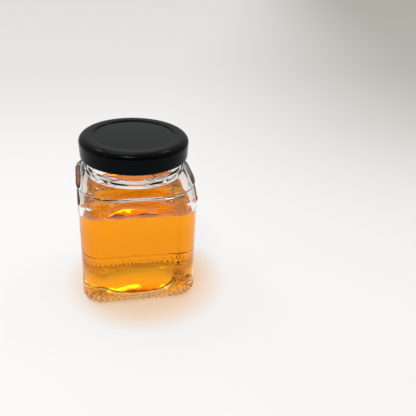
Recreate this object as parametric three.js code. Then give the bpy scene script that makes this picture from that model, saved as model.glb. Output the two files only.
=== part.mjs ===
// A square glass honey jar, part full of clear honey and shut with a round black twist-off lid.
// Millimetres, +Z up. The origin is on the table under the middle of the base, and the four flat
// walls of the jar face along X and Y.
import * as THREE from "three";
import { mergeVertices } from "three/addons/utils/BufferGeometryUtils.js";

// Driving sizes
const BODY_WIDTH = 70; // across the flat label panels
const BODY_CORNER = 12.5; // radius of the upright corners
const WALL = 2.5;
const HEEL_RADIUS = 5.75;
const SHOULDER_FROM = 68; // height where the upright corners begin to open out into the neck
const NECK_ROOT = 77.2; // height where the shoulder meets the neck
const NECK_RADIUS = 29.4;
const BORE_RADIUS = 26.4;
const RIM_TOP = 98.6;
const LID_TOP = 100;
const LID_RADIUS = 33;
const LID_HEIGHT = 12.6;
const HONEY_LEVEL = 60.2;
const FIT_GAP = 0.3; // clear space between pieces that touch

// Smaller features of the jar
const BAND_PROUD = 0.5; // the shoulder and heel bands stand this far proud of the label panels
const PANEL_FROM = 6; // the label panel runs between these two heights
const PANEL_TO = 63;
const BAND_EASE = 2; // height over which a band eases back into the panel
const FACE_TURNS_IN = 74.8; // height where the middle of each face turns in
const LIP_FROM = 73.2; // the lip at the top edge of the walls swells out between these two heights
const LIP_TO = 74.6;
const LIP_PROUD = 0.4;
const LIP_OPENED = 0.55; // share of the corners' opening that lies below the lip
const INNER_SHOULDER_FROM = 67;
const INNER_FACE_TURNS_IN = 72;
const INNER_SHOULDER_TOP = 75;
const FOOT_HOLLOW = 0.05; // the foot stands on its four corners, with its sides this far clear
const PUNT_RADIUS = 25.5; // the round push-up under the base
const PUNT_STEP = 2;
const PUNT_SLOPE = 2.2;
const PUNT_RISE = 3.9;
const BEAD_FROM = 77.7; // two glass rings lie round the neck, one on the other, under the lid
const BEAD_PROUD = 1.2;
const BEAD_HEIGHT = 3;
const RIM_ROUND = 1.2;
const FLOOR_EDGE = 2.6; // height of the inside floor at its edge and in its middle
const FLOOR_MIDDLE = 6.2;
const INNER_HEEL = 4.5;
const ARC_STEPS = 5;
const JAR_SIDES = 48;

// Smaller features of the lid
const SHEET = 0.9;
const PANEL_RADIUS = 24; // the sunk middle panel
const PANEL_SUNK = 0.7;
const PANEL_STEP = 0.5;
const LID_EDGE = [4.1, 3.7]; // the rounded top edge, inwards and downwards
const SKIRT_DRAFT = 0.35;
const CURL_RADIUS = 0.85;
const LID_SIDES = 64;

const half = BODY_WIDTH / 2;

// One level of a wall: a square of this half width with corners of this radius, at this height.
// Where the two are equal it is a circle.
const level = (halfWidth, corner, z) => ({ halfWidth, corner, z });
const ring = (radius, z) => level(radius, radius, z);
const steps = (count, make) => Array.from({ length: count + 1 }, (_, i) => make(i / count));
const smooth = (t) => t * t * (3 - 2 * t);
const mix = (a, b, t) => a + (b - a) * t;

// A closed surface through a list of levels. A lathe turns the corner radii, and its four quarters
// are then pulled apart along X and Y, so that the gaps between them are the flat faces.
function squareLathe(levels, sides) {
  const roundUp = 1 / Math.cos(Math.PI / sides); // the flats, and not the vertices, are true to size
  const profile = levels.map((l) => new THREE.Vector2(l.corner * roundUp, l.z));
  const geometry = new THREE.LatheGeometry(profile, sides, Math.PI / sides);
  geometry.rotateX(Math.PI / 2);
  const position = geometry.getAttribute("position");
  for (let i = 0; i < position.count; i++) {
    const { halfWidth, corner } = levels[i % levels.length];
    const pull = halfWidth - corner;
    if (pull <= 0) continue;
    position.setX(i, position.getX(i) + pull * Math.sign(position.getX(i)));
    position.setY(i, position.getY(i) + pull * Math.sign(position.getY(i)));
  }
  return closed(geometry);
}

// The same surface with shared vertices and without the empty triangles at the axis.
function closed(geometry) {
  geometry.deleteAttribute("normal");
  geometry.deleteAttribute("uv");
  const merged = mergeVertices(geometry, 1e-4);
  const index = merged.index.array;
  const kept = [];
  for (let i = 0; i < index.length; i += 3) {
    const [a, b, c] = [index[i], index[i + 1], index[i + 2]];
    if (a !== b && b !== c && c !== a) kept.push(a, b, c);
  }
  merged.setIndex(kept);
  merged.computeVertexNormals();
  return merged;
}

// Levels of the base, from the middle of its underside out to the top of the heel.
function baseLevels() {
  const dome = PUNT_RADIUS - PUNT_SLOPE;
  const domeAt = (t) => ring(dome * t, PUNT_RISE - (PUNT_RISE - PUNT_STEP) * t * t);
  const foot = half + BAND_PROUD - HEEL_RADIUS;
  const footCorner = BODY_CORNER - HEEL_RADIUS;
  const heel = (t) => {
    const turn = (t * Math.PI) / 2;
    const out = HEEL_RADIUS * Math.sin(turn);
    return level(foot + out, footCorner + out, HEEL_RADIUS * (1 - Math.cos(turn)));
  };
  return [...[0, 0.5, 1].map(domeAt), ring(PUNT_RADIUS, 0), ...steps(ARC_STEPS, heel)];
}

// Levels of the outside wall, from the heel band over the sunk label panel to the shoulder band.
function wallLevels() {
  const proud = level(half + BAND_PROUD, BODY_CORNER, 0);
  const panel = level(half, BODY_CORNER, 0);
  return [
    { ...proud, z: PANEL_FROM },
    { ...panel, z: PANEL_FROM + BAND_EASE },
    { ...panel, z: PANEL_TO - BAND_EASE },
    { ...proud, z: PANEL_TO },
  ];
}

// Levels of a shoulder at the given heights. Its corners open out into a circle by the share that
// openedAt gives for a height, it stands proud by swellAt, and its faces turn in only above turnsIn.
function shoulderLevels(heights, openedAt, swellAt, turnsIn, bodyHalf, bodyCorner, neck) {
  const top = heights[heights.length - 1];
  return heights.map((z) => {
    const over = Math.max(0, (z - turnsIn) / (top - turnsIn));
    const swell = swellAt(z);
    const halfWidth = neck + (bodyHalf + swell - neck) * Math.sqrt(1 - over * over);
    return level(halfWidth, bodyCorner + swell + (halfWidth - bodyCorner - swell) * openedAt(z), z);
  });
}

function outerShoulderLevels() {
  const heights = [
    ...steps(3, (t) => mix(SHOULDER_FROM, LIP_FROM, t)),
    mix(LIP_FROM, LIP_TO, 0.5),
    LIP_TO,
    ...steps(5, (t) => mix(FACE_TURNS_IN, NECK_ROOT, Math.sin((t * Math.PI) / 2))),
  ];
  const openedAt = (z) => {
    if (z < LIP_FROM) return (LIP_OPENED * (z - SHOULDER_FROM)) / (LIP_FROM - SHOULDER_FROM);
    return LIP_OPENED + ((1 - LIP_OPENED) * Math.max(0, z - LIP_TO)) / (NECK_ROOT - LIP_TO);
  };
  const swellAt = (z) => LIP_PROUD * smooth(Math.min(1, Math.max(0, (z - LIP_FROM) / (LIP_TO - LIP_FROM))));
  return shoulderLevels(heights, openedAt, swellAt, FACE_TURNS_IN, half + BAND_PROUD, BODY_CORNER, NECK_RADIUS);
}

function innerShoulderLevels(inset) {
  const from = INNER_SHOULDER_FROM;
  const to = INNER_SHOULDER_TOP;
  const heights = steps(9, (t) => mix(from, to, Math.sin((t * Math.PI) / 2)));
  const openedAt = (z) => (z - from) / (to - from);
  const bodyHalf = half - WALL - inset;
  const corner = BODY_CORNER - WALL - inset;
  return shoulderLevels(heights, openedAt, () => 0, INNER_FACE_TURNS_IN, bodyHalf, corner, BORE_RADIUS - inset);
}

// Levels of the neck: the glass rings, the plain finish inside the lid and the rounded rim.
function neckLevels() {
  const bead = (from) => [
    ring(NECK_RADIUS, from),
    ring(NECK_RADIUS + BEAD_PROUD / 2, from + 0.4 * BEAD_HEIGHT),
    ring(NECK_RADIUS + BEAD_PROUD, from + 0.8 * BEAD_HEIGHT),
  ];
  const rim = (middle, from, to) =>
    steps(3, (t) => {
      const turn = from + (to - from) * t;
      return ring(middle + RIM_ROUND * Math.cos(turn), RIM_TOP - RIM_ROUND * (1 - Math.sin(turn)));
    });
  return [
    ...bead(BEAD_FROM),
    ...bead(BEAD_FROM + BEAD_HEIGHT),
    ring(NECK_RADIUS, BEAD_FROM + 2 * BEAD_HEIGHT),
    ...rim(NECK_RADIUS - RIM_ROUND, 0, Math.PI / 2),
    ...rim(BORE_RADIUS + RIM_ROUND, Math.PI / 2, Math.PI),
  ];
}

// Levels of the inside from the middle of the floor up to the bore, drawn in by inset all over.
function insideLevels(inset) {
  const inHalf = half - WALL;
  const inCorner = BODY_CORNER - WALL;
  const floorHalf = inHalf - INNER_HEEL;
  const floorCorner = inCorner - INNER_HEEL;
  const radius = INNER_HEEL - inset;
  const floor = (t) =>
    level(floorHalf * t, floorCorner * t, mix(FLOOR_MIDDLE, FLOOR_EDGE, t ** 4) + inset);
  const heel = (t) => {
    const turn = (t * Math.PI) / 2;
    const out = radius * Math.sin(turn);
    return level(floorHalf + out, floorCorner + out, FLOOR_EDGE + INNER_HEEL - radius * Math.cos(turn));
  };
  return [
    ...steps(6, floor).slice(0, -1),
    ...steps(ARC_STEPS, heel),
    ...innerShoulderLevels(inset),
  ];
}

function jarGeometry() {
  const outside = [...baseLevels(), ...wallLevels(), ...outerShoulderLevels(), ...neckLevels()];
  const geometry = squareLathe([...outside, ...insideLevels(0).reverse()], JAR_SIDES);
  const position = geometry.getAttribute("position");
  for (let i = 0; i < position.count; i++) {
    if (position.getZ(i) > 1e-6) continue;
    const around = Math.atan2(position.getY(i), position.getX(i));
    position.setZ(i, FOOT_HOLLOW * (0.5 + 0.5 * Math.cos(4 * around)));
  }
  return geometry;
}

function honeyGeometry() {
  const inside = insideLevels(FIT_GAP).filter((l) => l.z < HONEY_LEVEL);
  const wall = inside[inside.length - 1];
  return squareLathe([...inside, { ...wall, z: HONEY_LEVEL }, ring(0, HONEY_LEVEL)], JAR_SIDES);
}

function lidGeometry() {
  const [edgeIn, edgeDown] = LID_EDGE;
  const curlTop = LID_TOP - LID_HEIGHT + CURL_RADIUS;
  const skirtFoot = LID_RADIUS - SKIRT_DRAFT;
  const panelTop = LID_TOP - PANEL_SUNK;
  const rounded = (grow) => (t) => {
    const turn = ((1 - t) * Math.PI) / 2;
    const across = LID_RADIUS - edgeIn + (edgeIn - grow) * Math.cos(turn);
    return ring(across, LID_TOP - edgeDown + (edgeDown - grow) * Math.sin(turn));
  };
  const curl = (t) => {
    const turn = -t * Math.PI;
    return ring(skirtFoot - CURL_RADIUS + CURL_RADIUS * Math.cos(turn), curlTop + CURL_RADIUS * Math.sin(turn));
  };
  const outside = [
    ring(0, panelTop),
    ring(PANEL_RADIUS, panelTop),
    ring(PANEL_RADIUS + PANEL_STEP, LID_TOP - 0.15),
    ring(PANEL_RADIUS + 2 * PANEL_STEP, LID_TOP),
    ...steps(6, rounded(0)),
    ...steps(6, curl),
  ];
  const inside = [
    ...steps(3, rounded(SHEET)).reverse(),
    ring(PANEL_RADIUS + 2 * PANEL_STEP, LID_TOP - SHEET),
    ring(PANEL_RADIUS + PANEL_STEP, panelTop - SHEET),
    ring(0, panelTop - SHEET),
  ];
  return squareLathe([...outside, ...inside].reverse(), LID_SIDES);
}

function piece(name, geometry, finish) {
  const mesh = new THREE.Mesh(geometry, new THREE.MeshStandardMaterial(finish));
  mesh.name = name;
  return mesh;
}

const clearGlass = { color: 0xe9efec, roughness: 0.03, metalness: 0, transparent: true, opacity: 0.3 };
const amberHoney = { color: 0xf59a1c, roughness: 0.05, metalness: 0 };
const blackLacquer = { color: 0x1a1b1d, roughness: 0.3, metalness: 0 };

const jar = new THREE.Group();
jar.add(piece("glass_jar", jarGeometry(), clearGlass));
jar.add(piece("honey", honeyGeometry(), amberHoney));
jar.add(piece("lid", lidGeometry(), blackLacquer));

export default jar;
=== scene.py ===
"""The looks of a square glass honey jar with a black twist-off lid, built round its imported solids.

Sizes are named in millimetres, as the jar's maker would give them, and meshes are made in metres.
"""
import math
from typing import NamedTuple

import bpy
import numpy as np
from mathutils import Matrix, Vector


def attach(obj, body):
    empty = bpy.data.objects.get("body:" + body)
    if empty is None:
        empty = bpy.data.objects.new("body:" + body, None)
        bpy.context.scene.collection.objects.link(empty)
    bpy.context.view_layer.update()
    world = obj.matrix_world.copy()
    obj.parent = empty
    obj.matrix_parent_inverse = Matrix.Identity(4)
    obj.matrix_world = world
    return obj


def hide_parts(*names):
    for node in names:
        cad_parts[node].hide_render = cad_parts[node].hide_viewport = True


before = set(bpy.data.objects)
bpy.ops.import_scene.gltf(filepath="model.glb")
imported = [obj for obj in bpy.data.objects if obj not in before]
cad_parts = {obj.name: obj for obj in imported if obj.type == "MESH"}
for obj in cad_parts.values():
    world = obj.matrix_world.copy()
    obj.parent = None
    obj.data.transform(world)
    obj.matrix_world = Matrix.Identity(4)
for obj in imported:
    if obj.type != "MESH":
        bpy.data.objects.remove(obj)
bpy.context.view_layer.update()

MM = 0.001

# The body of the jar, as its solid has it
BODY_HALF = 35
BODY_CORNER = 12.5
WALL = 2.5
HEEL_RADIUS = 5.75
BAND_PROUD = 0.5  # the shoulder and heel bands stand this far proud of the label panels
PANEL_FROM = 6
PANEL_TO = 63
BAND_EASE = 2  # height over which a band eases back into the panel
FLOOR_EDGE = 2.6  # height of the inside floor at its edge and in its middle
FLOOR_MIDDLE = 6.2
INNER_HEEL = 4.5

# The round push-up under the base
PUNT_RADIUS = 25.5
PUNT_STEP = 2
PUNT_SLOPE = 2.2
PUNT_RISE = 3.9

# The shoulder, with the lip along the top edge of the walls
SHOULDER_FROM = 68
FACE_TURNS_IN = 74.8
NECK_ROOT = 77.2
INNER_SHOULDER_FROM = 67
INNER_FACE_TURNS_IN = 72
INNER_SHOULDER_TOP = 75
LIP_FROM = 73.2
LIP_TO = 74.6
LIP_PROUD = 0.4
LIP_OPENED = 0.55  # share of the corners' opening that lies below the lip

# The neck, with two glass rings round it
NECK_RADIUS = 29.4
BORE_RADIUS = 26.4
RIM_TOP = 98.6
RIM_ROUND = 1.2
BEAD_FROM = 77.7
BEAD_PROUD = 1.2
BEAD_HEIGHT = 3
BEAD_PEAK = 0.8  # share of a ring's height where it stands out furthest

# The honey and the lid
HONEY_LEVEL = 60.2
LID_TOP = 100
LID_RADIUS = 33
LID_HEIGHT = 12.6
LID_EDGE_IN = 4.1
LID_EDGE_DOWN = 3.7
LID_SHEET = 0.9
LID_PANEL_RADIUS = 24
LID_PANEL_SUNK = 0.7
LID_PANEL_STEP = 0.5
SKIRT_DRAFT = 0.35
CURL_RADIUS = 0.85

# Details that only the looks have
JAR_SIDES = 480
HONEY_SIDES = 288
LID_SIDES = 192
SHARP_EDGE = 35  # degrees
KNURLS_AROUND = 80
FOOT_KNURLS = 6
HEEL_KNURLS = 3
KNURL_DEPTH = 0.45
UNEVEN_GLASS = 0.07
INTO_THE_WALL = 0.15  # the honey reaches this far into the glass, so that no air shows between them
MENISCUS_RISE = 1.1
MENISCUS_REACH = 1.6
SMALLEST_CORNER = 0.01


class Level(NamedTuple):
    """One outline of a wall: a square of this half width with corners of this radius, at height z."""

    half: float
    corner: float
    z: float


def ring(radius, z):
    return Level(radius, radius, z)


def steps(count, make):
    return [make(i / count) for i in range(count + 1)]


def smooth(t):
    return t * t * (3 - 2 * t)


def between(a, b, t):
    return a + (b - a) * t


def directions(sides):
    """Angles round the axis, half a step off it, so that no edge runs down the middle of a face."""
    return (np.arange(sides) + 0.5) * 2 * np.pi / sides


def outline(level, sides):
    """Points of one level: where rays from the axis meet its flats and its round corners."""
    angles = directions(sides)
    along, across = np.abs(np.cos(angles)), np.abs(np.sin(angles))
    longer, shorter = np.maximum(along, across), np.minimum(along, across)
    flat = level.half - level.corner
    to_flat = level.half / longer
    reach = np.maximum(level.corner**2 - (flat * (longer - shorter)) ** 2, 0)
    to_corner = flat * (longer + shorter) + np.sqrt(reach)
    distance = np.where(to_flat * shorter <= flat, to_flat, to_corner)
    height = np.full(sides, float(level.z))
    return np.stack([distance * np.cos(angles), distance * np.sin(angles), height], axis=1)


def outlines(levels, sides):
    return [outline(level, sides) for level in levels]


def wrapped(name, rows, lowest, highest):
    """A closed smooth mesh over rows of points, shut by one point on the axis at each end."""
    rows = np.array(rows)
    count, sides = rows.shape[:2]
    points = np.vstack([[(0, 0, lowest)], rows.reshape(-1, 3), [(0, 0, highest)]]) * MM
    last = len(points) - 1
    faces = []
    for side in range(sides):
        after = (side + 1) % sides
        faces.append((0, 1 + after, 1 + side))
        for row in range(count - 1):
            low, high = 1 + row * sides, 1 + (row + 1) * sides
            faces.append((low + side, low + after, high + after, high + side))
        top = 1 + (count - 1) * sides
        faces.append((top + side, top + after, last))
    mesh = bpy.data.meshes.new(name)
    mesh.from_pydata(points.tolist(), [], faces)
    mesh.shade_smooth()
    mesh.set_sharp_from_angle(angle=math.radians(SHARP_EDGE))
    made = bpy.data.objects.new(name, mesh)
    bpy.context.scene.collection.objects.link(made)
    return made


# The jar's outlines


def underside_levels():
    """From beside the axis out to the foot of the round push-up."""
    dome = PUNT_RADIUS - PUNT_SLOPE

    def domed(t):
        return ring(dome * t, PUNT_RISE - (PUNT_RISE - PUNT_STEP) * t * t)

    def sloped(t):
        return ring(dome + PUNT_SLOPE * t, PUNT_STEP * (1 - smooth(t)))

    return [domed(t) for t in (0.1, 0.3, 0.5, 0.7, 0.85, 0.95)] + steps(7, sloped)


def foot_levels():
    """The rim that the jar stands on, from the push-up out to the heel."""
    half = BODY_HALF + BAND_PROUD - HEEL_RADIUS
    corner = BODY_CORNER - HEEL_RADIUS

    def at(t):
        return Level(between(PUNT_RADIUS, half, t), between(PUNT_RADIUS, corner, t), 0)

    return steps(34, at)[1:]


def heel_levels():
    """The rounded edge round the base, from the foot up to the wall."""
    half = BODY_HALF + BAND_PROUD - HEEL_RADIUS
    corner = BODY_CORNER - HEEL_RADIUS

    def at(t):
        turn = t * math.pi / 2
        out = HEEL_RADIUS * math.sin(turn)
        return Level(half + out, corner + out, HEEL_RADIUS * (1 - math.cos(turn)))

    return steps(24, at)[1:]


def wall_levels():
    """From the heel band over the sunk label panel to the shoulder band."""

    def band(proud, z):
        return Level(BODY_HALF + BAND_PROUD * proud, BODY_CORNER, z)

    sink = steps(4, lambda t: band(1 - smooth(t), PANEL_FROM + BAND_EASE * t))
    rise = steps(4, lambda t: band(smooth(t), PANEL_TO - BAND_EASE * (1 - t)))
    middle = steps(6, lambda t: band(0, between(sink[-1].z, rise[0].z, t)))
    return sink + middle[1:-1] + rise


def shoulder_levels(count, low, turns_in, high, half, corner, neck, lip=0):
    """The faces turn in only near the top. The corners open out into a circle, and pause at the lip."""

    def at(t):
        z = between(low, high, math.sin(t * math.pi / 2))
        over = max(0, (z - turns_in) / (high - turns_in))
        swell = lip * smooth(min(1, max(0, (z - LIP_FROM) / (LIP_TO - LIP_FROM))))
        width = neck + (half + swell - neck) * math.sqrt(1 - over * over)
        opened = (z - low) / (high - low)
        if lip:
            opened = float(np.interp(z, (low, LIP_FROM, LIP_TO, high), (0, LIP_OPENED, LIP_OPENED, 1)))
        return Level(width, between(corner + swell, width, opened), z)

    return steps(count, at)


def neck_levels():
    """The two glass rings under the lid, the plain finish inside the lid and the rounded rim."""

    def bead(start, t):
        out = t / BEAD_PEAK if t < BEAD_PEAK else (1 - t) / (1 - BEAD_PEAK)
        return ring(NECK_RADIUS + BEAD_PROUD * out, start + BEAD_HEIGHT * t)

    def rim(t):
        turn = t * math.pi
        middle = NECK_RADIUS - RIM_ROUND if t < 0.5 else BORE_RADIUS + RIM_ROUND
        return ring(middle + RIM_ROUND * math.cos(turn), RIM_TOP - RIM_ROUND * (1 - math.sin(turn)))

    up_a_bead = (0.1, 0.25, 0.4, 0.55, 0.7, 0.8, 0.9, 1)
    beads = [bead(BEAD_FROM, t) for t in (0, *up_a_bead)]
    beads += [bead(BEAD_FROM + BEAD_HEIGHT, t) for t in up_a_bead]
    plain_from = beads[-1].z + 0.5
    plain_to = RIM_TOP - 2 * RIM_ROUND
    return beads + steps(3, lambda t: ring(NECK_RADIUS, between(plain_from, plain_to, t))) + steps(9, rim)


def inside_levels(inset=0):
    """The inside from beside the axis up to the bore, drawn in by inset all over."""
    half, corner = BODY_HALF - WALL, BODY_CORNER - WALL
    floor_half, floor_corner = half - INNER_HEEL, corner - INNER_HEEL
    radius = INNER_HEEL - inset
    wall_from = FLOOR_EDGE + INNER_HEEL
    bore_to = RIM_TOP - RIM_ROUND

    def floor(t):
        return Level(floor_half * t, floor_corner * t, between(FLOOR_MIDDLE, FLOOR_EDGE, t**4) + inset)

    def heel(t):
        turn = t * math.pi / 2
        out = radius * math.sin(turn)
        return Level(floor_half + out, floor_corner + out, wall_from - radius * math.cos(turn))

    def upright(t):
        return Level(half - inset, corner - inset, between(wall_from, INNER_SHOULDER_FROM, t))

    def bore(t):
        return ring(BORE_RADIUS - inset, between(INNER_SHOULDER_TOP, bore_to, t))

    shoulder = shoulder_levels(
        12, INNER_SHOULDER_FROM, INNER_FACE_TURNS_IN, INNER_SHOULDER_TOP,
        half - inset, corner - inset, BORE_RADIUS - inset,
    )
    below = steps(10, floor)[1:-1] + steps(12, heel) + steps(8, upright)[1:-1]
    return below + shoulder + steps(6, bore)[1:-1]


# The waves of the inside: size, waves round the jar, turn with height, and start
WAVES = ((1, 3, 0.09, 0.7), (0.6, 5, -0.16, 0), (0.5, 1, 0.21, 2))
CALM_WITHIN = 10  # the waves fade out nearer to the axis than this


def uneven(rows):
    """The inside of a pressed jar is never quite true: it swells and shrinks in long soft waves."""
    x, y, z = np.moveaxis(np.array(rows), 2, 0)
    angle = np.arctan2(y, x)
    wave = sum(size * np.sin(around * angle + turn * z + start) for size, around, turn, start in WAVES)
    grown = 1 + UNEVEN_GLASS * wave / np.maximum(np.hypot(x, y), CALM_WITHIN)
    return np.stack([x * grown, y * grown, z], axis=2)


# The bars of the knurling: how much of their pitch they fill, and how steep they are
BAR_FILL = 0.5
BAR_STEEP = 1.2
BAR_END_STEEP = 2.2
KNURLING_EDGE_STEEP = 9


def knurled(rows, count, inward):
    """Short bars in staggered rows, left standing where the glass between them is cut back.

    The cut goes up, and inwards too by the share that inward gives.
    """
    rows = np.array(rows)
    t = (np.arange(len(rows)) + 1) / len(rows)
    row = t * count
    around = directions(rows.shape[1]) * KNURLS_AROUND
    stagger = (np.floor(row) % 2) * math.pi
    bars = np.clip(BAR_FILL + BAR_STEEP * np.cos(around[None, :] + stagger[:, None]), 0, 1)
    ends = np.clip(BAR_END_STEEP * np.sin((row % 1) * math.pi), 0, 1)[:, None]
    edges = np.clip(np.minimum(t, 1 - t) * KNURLING_EDGE_STEEP, 0, 1)[:, None]
    cut = KNURL_DEPTH * edges * (1 - bars * ends)
    rows[:, :, 2] += cut
    rows[:, :, :2] *= (1 - inward * cut / BODY_HALF)[:, :, None]
    return rows


def glass_jar():
    shoulder = shoulder_levels(
        26, SHOULDER_FROM, FACE_TURNS_IN, NECK_ROOT,
        BODY_HALF + BAND_PROUD, BODY_CORNER, NECK_RADIUS, LIP_PROUD,
    )
    rows = outlines(underside_levels(), JAR_SIDES)
    rows += list(knurled(outlines(foot_levels(), JAR_SIDES), FOOT_KNURLS, inward=0))
    rows += list(knurled(outlines(heel_levels(), JAR_SIDES), HEEL_KNURLS, inward=1))
    rows += outlines(wall_levels() + shoulder + neck_levels(), JAR_SIDES)
    rows += list(uneven(outlines(inside_levels()[::-1], JAR_SIDES)))
    return wrapped("jar_glass", rows, PUNT_RISE, FLOOR_MIDDLE)


def honey():
    """The honey reaches just into the glass, and creeps a little up the wall at its edge."""
    inside = [level for level in inside_levels(-INTO_THE_WALL) if level.z < HONEY_LEVEL - 1]
    wall = inside[-1]
    wall_tops = (HONEY_LEVEL - 0.5, HONEY_LEVEL + MENISCUS_RISE - 0.3)
    inside += [wall._replace(z=z) for z in wall_tops]

    def surface(t):
        depth = wall.corner * t**1.5
        rise = MENISCUS_RISE * math.exp(-max(depth - INTO_THE_WALL, 0) / MENISCUS_REACH)
        return Level(wall.half - depth, wall.corner - depth, HONEY_LEVEL + rise)

    top = steps(16, surface)[:-1]
    top += [Level(half, SMALLEST_CORNER, HONEY_LEVEL) for half in (wall.half - wall.corner, 8)]
    rows = uneven(outlines(inside + top, HONEY_SIDES))
    return wrapped("honey_fill", rows, FLOOR_MIDDLE - INTO_THE_WALL, HONEY_LEVEL)


def lid():
    """A drawn tin lid: sunk middle, raised ring, rounded edge, plain skirt and a curl at its foot."""
    curl_top = LID_TOP - LID_HEIGHT + CURL_RADIUS
    skirt_top = LID_TOP - LID_EDGE_DOWN
    skirt_foot = LID_RADIUS - SKIRT_DRAFT
    panel_top = LID_TOP - LID_PANEL_SUNK
    ring_from = LID_PANEL_RADIUS + 2 * LID_PANEL_STEP

    def edge(sheet):
        def at(t):
            turn = t * math.pi / 2
            across = LID_RADIUS - LID_EDGE_IN + (LID_EDGE_IN - sheet) * math.sin(turn)
            return ring(across, skirt_top + (LID_EDGE_DOWN - sheet) * math.cos(turn))

        return at

    def curl(t):
        turn = t * math.pi
        across = skirt_foot - CURL_RADIUS + CURL_RADIUS * math.cos(turn)
        return ring(across, curl_top - CURL_RADIUS * math.sin(turn))

    def step(sheet):
        def at(t):
            across = between(LID_PANEL_RADIUS, ring_from, t)
            return ring(across, between(panel_top, LID_TOP, smooth(t)) - sheet)

        return at

    def skirt(t):
        return ring(between(LID_RADIUS, skirt_foot, t), between(skirt_top, curl_top, t))

    panel = [ring(radius, panel_top) for radius in (2, 8, 14, 19, 22, 23.4)]
    outside = panel + steps(8, step(0)) + steps(14, edge(0))
    outside += [skirt(t) for t in (0.06, 0.3, 0.6, 0.9)] + steps(10, curl)
    under = steps(6, edge(LID_SHEET))[::-1] + steps(4, step(LID_SHEET))[::-1]
    under += [ring(radius, panel_top - LID_SHEET) for radius in (18, 8, 2)]
    rows = outlines((outside + under)[::-1], LID_SIDES)
    return wrapped("lid_tin", rows, panel_top - LID_SHEET, panel_top)


# Finishes


class Field:
    """A number that changes over a surface. Python arithmetic on it adds the Math nodes."""

    def __init__(self, finish, socket):
        self.finish = finish
        self.socket = socket

    def _math(self, operation, first, second):
        made = self.finish.node("ShaderNodeMath", {"operation": operation}, {0: first, 1: second})
        return Field(self.finish, made.outputs[0])

    def __add__(self, other):
        return self._math("ADD", self, other)

    __radd__ = __add__

    def __mul__(self, other):
        return self._math("MULTIPLY", self, other)

    __rmul__ = __mul__

    def __sub__(self, other):
        return self._math("SUBTRACT", self, other)

    def __rsub__(self, other):
        return self._math("SUBTRACT", other, self)


class Finish:
    """One procedural material with a Principled shader."""

    def __init__(self, name):
        self.material = bpy.data.materials.new(name)
        self.material.use_nodes = True
        self.tree = self.material.node_tree
        self.shader = self.tree.nodes["Principled BSDF"]
        self.output = self.tree.nodes["Material Output"]

    def node(self, kind, settings=None, inputs=None):
        made = self.tree.nodes.new(kind)
        for key, value in (settings or {}).items():
            setattr(made, key, value)
        for key, value in (inputs or {}).items():
            self.set(made.inputs[key], value)
        return made

    def set(self, socket, value):
        if isinstance(value, Field):
            self.tree.links.new(value.socket, socket)
        elif isinstance(value, bpy.types.NodeSocket):
            self.tree.links.new(value, socket)
        else:
            socket.default_value = value

    def surface(self, **inputs):
        for key, value in inputs.items():
            self.set(self.shader.inputs[key.replace("_", " ")], value)

    def place(self):
        return self.node("ShaderNodeNewGeometry").outputs["Position"]

    def noise(self, scale, detail=2):
        inputs = {"Vector": self.place(), "Scale": scale, "Detail": detail}
        return Field(self, self.node("ShaderNodeTexNoise", inputs=inputs).outputs["Fac"])

    def ease(self, value, low, high, at_low, at_high):
        """A soft step from one value to another, between two bounds of a field."""
        inputs = {"Value": value, "From Min": low, "From Max": high, "To Min": at_low, "To Max": at_high}
        made = self.node("ShaderNodeMapRange", {"interpolation_type": "SMOOTHSTEP"}, inputs)
        return Field(self, made.outputs["Result"])

    def bump(self, height, distance, strength):
        inputs = {"Height": height, "Distance": distance, "Strength": strength}
        return self.node("ShaderNodeBump", inputs=inputs).outputs["Normal"]

    def inside(self, colour, density):
        made = self.node("ShaderNodeVolumeAbsorption", inputs={"Color": colour, "Density": density})
        self.tree.links.new(made.outputs["Volume"], self.output.inputs["Volume"])


def clear_glass():
    finish = Finish("clear_glass")
    ripple = finish.noise(scale=55)
    finish.surface(
        Base_Color=(1, 1, 1, 1),
        Roughness=0.0,
        IOR=1.52,
        Specular_Tint=(0.12, 0.12, 0.12, 1),
        Transmission_Weight=1.0,
        Normal=finish.bump(ripple, distance=0.0006, strength=0.5),
    )
    finish.inside(colour=(0.75, 0.9, 0.82, 1), density=6.0)
    return finish.material


def clear_honey():
    finish = Finish("clear_honey")
    finish.surface(
        Base_Color=(1, 1, 1, 1),
        Roughness=0.0,
        IOR=1.49,
        Specular_Tint=(0, 0, 0, 1),
        Transmission_Weight=1.0,
    )
    finish.inside(colour=(1, 0.845, 0.1, 1), density=100.0)
    return finish.material


def black_lacquer():
    finish = Finish("black_lacquer")
    cloud = finish.noise(scale=60, detail=3)
    grain = finish.noise(scale=900)
    finish.surface(
        Base_Color=(0.002, 0.0022, 0.003, 1),
        Roughness=0.1 + 0.08 * cloud,
        IOR=1.5,
        Specular_IOR_Level=0.058,
        Specular_Tint=(0.74, 0.87, 1, 1),
        Normal=finish.bump(grain, distance=0.00003, strength=0.15),
    )
    return finish.material


# The table's painted light, with its places in metres
PAINTED_TABLE_LIGHT = 0.7
# Painted shade: how much the table's glow is taken down at the back and at the far right, where the shade
# is also less blue
PAINTED_SHADE_AT_THE_BACK = 0.17
PAINTED_SHADE_AT_THE_RIGHT = 0.3
SHADE_LESS_BLUE = 0.1
# Painted caustic: warm light painted onto the table where light through the honey would fall, with its
# middle, its edges and how low its green and blue go
PAINTED_CAUSTIC_X = 0.006
PAINTED_CAUSTIC_Y = -0.01
PAINTED_CAUSTIC_EDGES = (0.0006, 0.0034)  # squares of the distances between which the painted caustic fades
PAINTED_CAUSTIC_GREEN = 0.66
PAINTED_CAUSTIC_BLUE = 0.4


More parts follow.
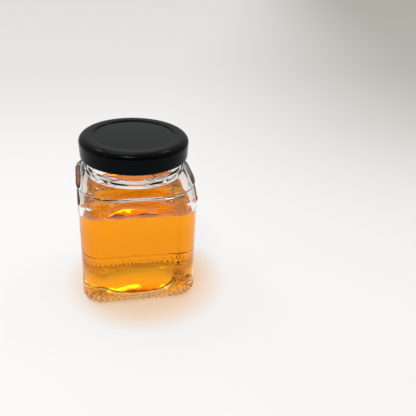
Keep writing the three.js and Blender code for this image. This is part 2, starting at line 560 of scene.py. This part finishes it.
def painted_light_table():
    """A white sheet that glows with painted light, though it is no lamp, so that shadows on it stay
    faint.

    Painted shade makes it darker to the back and the far right, and a painted caustic makes it warm where
    the honey's light would fall.
    """
    finish = Finish("painted_light_table")
    apart = finish.node("ShaderNodeSeparateXYZ", inputs={"Vector": finish.place()})
    x, y = (Field(finish, apart.outputs[axis]) for axis in "XY")
    # Painted shade: the glow is taken down towards the back and the far right.
    back = finish.ease(y, 0, 0.6, 0, PAINTED_SHADE_AT_THE_BACK)
    right = finish.ease(x - 0.35 * y, -0.1, 0.42, 0, PAINTED_SHADE_AT_THE_RIGHT)
    far = finish.ease(y, -0.1, 0.3, 0.2, 1)
    shade = right * far
    glow = PAINTED_TABLE_LIGHT - back - shade
    # Painted caustic: the glow is made warmer near the jar's front, where light through the honey would
    # fall.
    painted_caustic_reach = (x - PAINTED_CAUSTIC_X) * (x - PAINTED_CAUSTIC_X) + (y - PAINTED_CAUSTIC_Y) * (y - PAINTED_CAUSTIC_Y)
    green = glow * finish.ease(painted_caustic_reach, *PAINTED_CAUSTIC_EDGES, PAINTED_CAUSTIC_GREEN, 1)
    blue = glow * finish.ease(painted_caustic_reach, *PAINTED_CAUSTIC_EDGES, PAINTED_CAUSTIC_BLUE, 1) - SHADE_LESS_BLUE * shade
    colour = finish.node("ShaderNodeCombineColor", inputs={"Red": glow, "Green": green, "Blue": blue})
    # The emission is painted light on the table, made darker and warmer in places as above.
    finish.surface(
        Base_Color=(0.2, 0.204, 0.213, 1),
        Roughness=0.9,
        Emission_Color=colour.outputs["Color"],
        Emission_Strength=1.0,
    )
    return finish.material


# The pieces


def dress(piece, node, material):
    piece.data.materials.append(material)
    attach(piece, "root")
    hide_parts(node)


dress(glass_jar(), "glass_jar", clear_glass())
dress(honey(), "honey", clear_honey())
dress(lid(), "lid", black_lacquer())


# The studio, with its places in metres

CAMERA_PLACE = (-0.03058, -0.29746, 0.21401)
CAMERA_RIGHT = (0.97212, -0.22739, 0.05725)
CAMERA_UP = (0.06045, 0.47892, 0.87580)
CAMERA_LENS = 45.17
TABLE_HALF = 4
AT_THE_JAR = (0, 0, 0.03)
AT_THE_LID = (0, 0, 0.09)

# Name, place, aim, width, height and watts
LAMPS = (
    ("lamp_back", (-0.13, 0.68, 1.34), AT_THE_JAR, 0.5, 0.3, 1.8),
    ("lamp_left", (-0.65, 0.62, 1.2), AT_THE_JAR, 0.3, 0.2, 2),
    ("lamp_right", (0.72, 0.4, 1.25), AT_THE_JAR, 0.3, 0.2, 2),
    ("lamp_front", (-0.22, -0.42, 0.98), AT_THE_LID, 0.26, 0.1, 3.6),
)

# The room's light by its direction: the part of the axis that a ramp covers, and its two values
FRONT_TO_BACK = (-0.8, 0.1, 0.12, 1)
LOW_TO_HIGH = (0.05, 0.75, 0.47, 1.18)
ROOM_TINTS = {"Red": (0.3, 0.6, 0.94, 1), "Green": (0.3, 0.6, 0.98, 0.87), "Blue": (0.3, 0.6, 1, 0.74)}


def add_camera():
    data = bpy.data.cameras.new("camera")
    data.lens = CAMERA_LENS
    data.clip_start = 0.01
    camera = bpy.data.objects.new("camera", data)
    right, up = Vector(CAMERA_RIGHT).normalized(), Vector(CAMERA_UP).normalized()
    back = right.cross(up)
    turn = Matrix((right, back.cross(right), back)).transposed()
    camera.matrix_world = Matrix.Translation(CAMERA_PLACE) @ turn.to_4x4()
    bpy.context.scene.collection.objects.link(camera)
    bpy.context.scene.camera = camera


def add_floor():
    corners = [(x * TABLE_HALF, y * TABLE_HALF, 0) for x, y in ((-1, -1), (1, -1), (1, 1), (-1, 1))]
    mesh = bpy.data.meshes.new("table_top")
    mesh.from_pydata(corners, [], [(0, 1, 2, 3)])
    floor = bpy.data.objects.new("table_top", mesh)
    floor.data.materials.append(painted_light_table())
    bpy.context.scene.collection.objects.link(floor)


def add_lamp(name, place, aim, width, height, power):
    data = bpy.data.lights.new(name, "AREA")
    data.shape = "RECTANGLE"
    data.size, data.size_y = width, height
    data.energy = power
    lamp = bpy.data.objects.new(name, data)
    lamp.location = place
    lamp.rotation_mode = "QUATERNION"
    lamp.rotation_quaternion = (Vector(aim) - Vector(place)).to_track_quat("-Z", "Y")
    bpy.context.scene.collection.objects.link(lamp)


def add_surroundings():
    """A room that is dark on the camera's side, and brighter and warmer with height behind the jar."""
    world = bpy.data.worlds.new("room")
    bpy.context.scene.world = world
    world.use_nodes = True
    nodes, links = world.node_tree.nodes, world.node_tree.links
    where = nodes.new("ShaderNodeTexCoord")
    apart = nodes.new("ShaderNodeSeparateXYZ")
    links.new(where.outputs["Generated"], apart.inputs[0])

    def ramp(axis, *bounds):
        made = nodes.new("ShaderNodeMapRange")
        for name, value in zip(("From Min", "From Max", "To Min", "To Max"), bounds):
            made.inputs[name].default_value = value
        links.new(apart.outputs[axis], made.inputs["Value"])
        return made.outputs["Result"]

    both = nodes.new("ShaderNodeMath")
    both.operation = "MULTIPLY"
    links.new(ramp("Y", *FRONT_TO_BACK), both.inputs[0])
    links.new(ramp("Z", *LOW_TO_HIGH), both.inputs[1])
    colour = nodes.new("ShaderNodeCombineColor")
    for name, tint in ROOM_TINTS.items():
        links.new(ramp("Z", *tint), colour.inputs[name])
    links.new(colour.outputs["Color"], nodes["Background"].inputs["Color"])
    links.new(both.outputs[0], nodes["Background"].inputs["Strength"])


add_camera()
add_floor()
add_surroundings()
for lamp_settings in LAMPS:
    add_lamp(*lamp_settings)

scene = bpy.context.scene
scene.view_settings.view_transform = "Standard"
scene.cycles.max_bounces = 24
scene.cycles.transmission_bounces = 24
scene.cycles.transparent_max_bounces = 24
